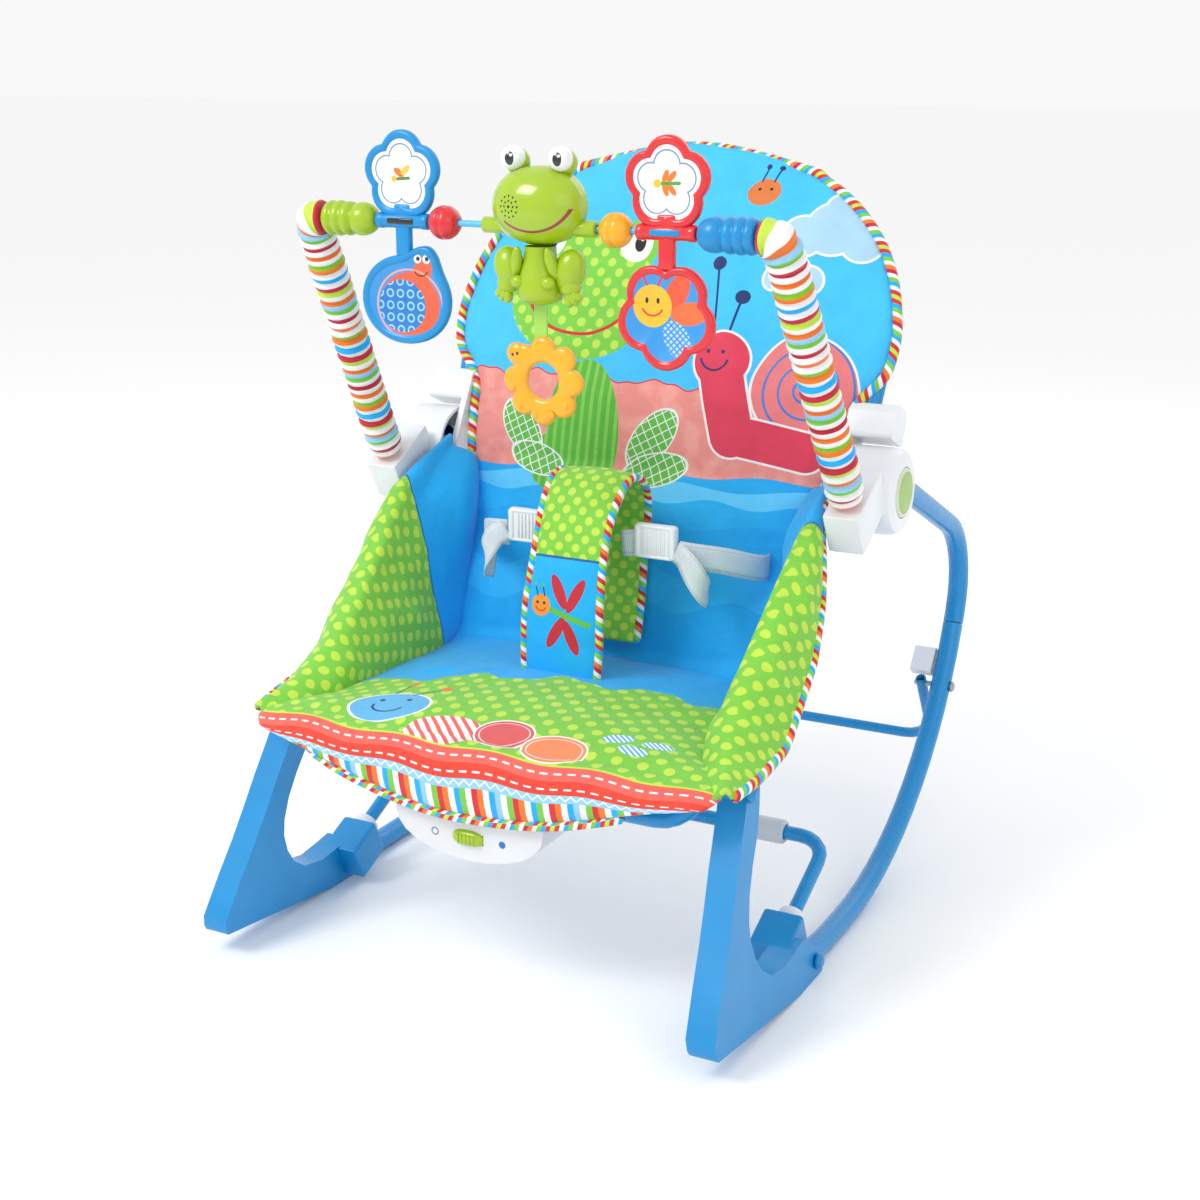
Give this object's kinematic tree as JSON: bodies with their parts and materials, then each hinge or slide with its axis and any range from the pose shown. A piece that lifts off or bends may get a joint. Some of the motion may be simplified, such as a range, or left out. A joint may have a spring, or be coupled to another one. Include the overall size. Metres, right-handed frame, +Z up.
{
  "type": "bouncer seat",
  "caption": "Baby rocker: tubular frame on two moulded feet and curved rails, padded sling seat with reclining back, crotch strap, kickstand, vibration unit and toy bar.",
  "frame": {"origin": "centre of the seat's footprint, on the floor it stands on", "axes": "-Y towards the front, where the baby's feet lie, +X across to the right as seen from the front, +Z up"},
  "size_m": [0.473, 0.5843, 0.6524],
  "materials": {
    "back_panel": "printed padded polyester",
    "back_tube": "glossy blue powder coat",
    "battery": "dark wrapped cell",
    "battery_door": "light grey moulded plastic",
    "brace_crossbar": "glossy blue powder coat",
    "crotch_pad": "printed padded polyester",
    "frog_back": "glossy green plastic",
    "frog_body": "glossy green plastic",
    "frog_head": "glossy green plastic",
    "kickstand_tube": "glossy blue powder coat",
    "left_back_bracket": "white moulded plastic",
    "left_brace_collar": "white moulded plastic",
    "left_brace_sleeve": "light grey moulded plastic",
    "left_brace_tube": "glossy blue powder coat",
    "left_buckle": "white moulded plastic",
    "left_foot": "glossy moulded plastic",
    "left_hub_shell": "white moulded plastic",
    "left_kickstand_bolt": "plain steel",
    "left_kickstand_pad": "white moulded plastic",
    "left_knob": "glossy green plastic",
    "left_leg_bolt": "blue screw cap",
    "left_rail_bolt": "blue screw cap",
    "left_rail_front": "glossy blue powder coat",
    "left_rail_rear": "glossy blue powder coat",
    "left_recline_button": "glossy green plastic",
    "left_side_panel": "printed padded polyester",
    "left_spinner": "glossy blue plastic",
    "left_toy_arm": "striped padded sleeve",
    "left_waist_belt": "woven webbing",
    "pull_strap": "soft green plastic",
    "red_bead": "glossy red plastic",
    "right_back_bracket": "white moulded plastic",
    "right_brace_collar": "white moulded plastic",
    "right_brace_sleeve": "light grey moulded plastic",
    "right_brace_tube": "glossy blue powder coat",
    "right_buckle": "white moulded plastic",
    "right_foot": "glossy moulded plastic",
    "right_hub_shell": "white moulded plastic",
    "right_kickstand_bolt": "plain steel",
    "right_kickstand_pad": "white moulded plastic",
    "right_knob": "glossy blue plastic",
    "right_leg_bolt": "blue screw cap",
    "right_rail_bolt": "blue screw cap",
    "right_rail_front": "glossy blue powder coat",
    "right_rail_rear": "glossy blue powder coat",
    "right_recline_button": "glossy green plastic",
    "right_side_panel": "printed padded polyester",
    "right_spinner": "glossy red plastic",
    "right_toy_arm": "striped padded sleeve",
    "right_waist_belt": "woven webbing",
    "seat_cushion": "printed padded polyester",
    "seat_tube": "glossy blue powder coat",
    "sound_module": "dull grey plastic",
    "teether": "glossy yellow plastic",
    "toy_rod": "glossy blue powder coat",
    "vibration_housing": "light grey moulded plastic",
    "vibration_motor": "plain steel",
    "vibration_switch": "glossy green plastic",
    "yellow_bead": "glossy yellow plastic"
  },
  "bodies": {
    "base": {"left_foot": "left_foot", "right_foot": "right_foot", "left_rail_front": "left_rail_front", "right_rail_front": "right_rail_front", "left_rail_rear": "left_rail_rear", "right_rail_rear": "right_rail_rear", "left_hub_shell": "left_hub_shell", "right_hub_shell": "right_hub_shell", "left_brace_tube": "left_brace_tube", "right_brace_tube": "right_brace_tube", "left_brace_sleeve": "left_brace_sleeve", "right_brace_sleeve": "right_brace_sleeve", "left_brace_collar": "left_brace_collar", "right_brace_collar": "right_brace_collar", "left_leg_bolt": "left_leg_bolt", "right_leg_bolt": "right_leg_bolt", "left_rail_bolt": "left_rail_bolt", "right_rail_bolt": "right_rail_bolt", "left_kickstand_bolt": "left_kickstand_bolt", "right_kickstand_bolt": "right_kickstand_bolt", "left_kickstand_pad": "left_kickstand_pad", "right_kickstand_pad": "right_kickstand_pad", "left_side_panel": "left_side_panel", "right_side_panel": "right_side_panel", "left_buckle": "left_buckle", "right_buckle": "right_buckle", "left_waist_belt": "left_waist_belt", "right_waist_belt": "right_waist_belt", "seat_tube": "seat_tube", "brace_crossbar": "brace_crossbar", "vibration_housing": "vibration_housing", "battery_door": "battery_door", "battery": "battery", "vibration_motor": "vibration_motor", "seat_cushion": "seat_cushion", "crotch_pad": "crotch_pad"},
    "backrest": {"back_tube": "back_tube", "back_panel": "back_panel", "left_back_bracket": "left_back_bracket", "right_back_bracket": "right_back_bracket"},
    "kickstand": {"kickstand_tube": "kickstand_tube"},
    "left_button": {"left_recline_button": "left_recline_button"},
    "right_button": {"right_recline_button": "right_recline_button"},
    "switch": {"vibration_switch": "vibration_switch"},
    "toy_bar": {"left_toy_arm": "left_toy_arm", "right_toy_arm": "right_toy_arm", "left_knob": "left_knob", "right_knob": "right_knob", "toy_rod": "toy_rod", "frog_head": "frog_head", "frog_back": "frog_back", "sound_module": "sound_module", "frog_body": "frog_body"},
    "left_spinner_toy": {"left_spinner": "left_spinner"},
    "right_spinner_toy": {"right_spinner": "right_spinner"},
    "red_bead_toy": {"red_bead": "red_bead"},
    "yellow_bead_toy": {"yellow_bead": "yellow_bead"},
    "strap": {"pull_strap": "pull_strap"},
    "ring": {"teether": "teether"}
  },
  "joints": [
    {"name": "back_recline", "type": "hinge", "parent": "base", "child": "backrest", "pos_m": [0, 0.055, 0.365], "axis": [1, 0, 0], "range_deg": [-22, 0]},
    {"name": "kickstand_swing", "type": "hinge", "parent": "base", "child": "kickstand", "pos_m": [0, 0.2418, 0.14046], "axis": [1, 0, 0], "range_deg": [-100, 0]},
    {"name": "left_recline_button_press", "type": "slide", "parent": "base", "child": "left_button", "axis": [1, 0, 0], "range_m": [0, 0.004], "stiffness_N_per_m": 800, "springref_m": -0.001},
    {"name": "right_recline_button_press", "type": "slide", "parent": "base", "child": "right_button", "axis": [-1, 0, 0], "range_m": [0, 0.004], "stiffness_N_per_m": 800, "springref_m": -0.001},
    {"name": "vibration_switch_slide", "type": "slide", "parent": "base", "child": "switch", "axis": [1, 0, 0], "range_m": [0, 0.006]},
    {"name": "toy_bar_lift_off", "type": "slide", "parent": "base", "child": "toy_bar", "axis": [0, -0.4848, 0.8746], "range_m": [0, 0.12]},
    {"name": "left_spinner_spin", "type": "hinge", "parent": "toy_bar", "child": "left_spinner_toy", "pos_m": [-0.113, -0.142, 0.584], "axis": [1, 0, 0], "continuous": true},
    {"name": "right_spinner_spin", "type": "hinge", "parent": "toy_bar", "child": "right_spinner_toy", "pos_m": [0.113, -0.142, 0.584], "axis": [1, 0, 0], "continuous": true},
    {"name": "red_bead_slide", "type": "slide", "parent": "toy_bar", "child": "red_bead_toy", "axis": [1, 0, 0], "range_m": [0, 0.02]},
    {"name": "yellow_bead_spin", "type": "hinge", "parent": "toy_bar", "child": "yellow_bead_toy", "pos_m": [0.0715, -0.142, 0.584], "axis": [1, 0, 0], "continuous": true},
    {"name": "teether_pull", "type": "slide", "parent": "toy_bar", "child": "strap", "axis": [0, 0, -1], "range_m": [0, 0.03], "stiffness_N_per_m": 60, "springref_m": -0.02},
    {"name": "teether_swing", "type": "hinge", "parent": "strap", "child": "ring", "pos_m": [0.008, -0.142, 0.497], "axis": [1, 0, 0], "range_deg": [-40, 40]}
  ]
}
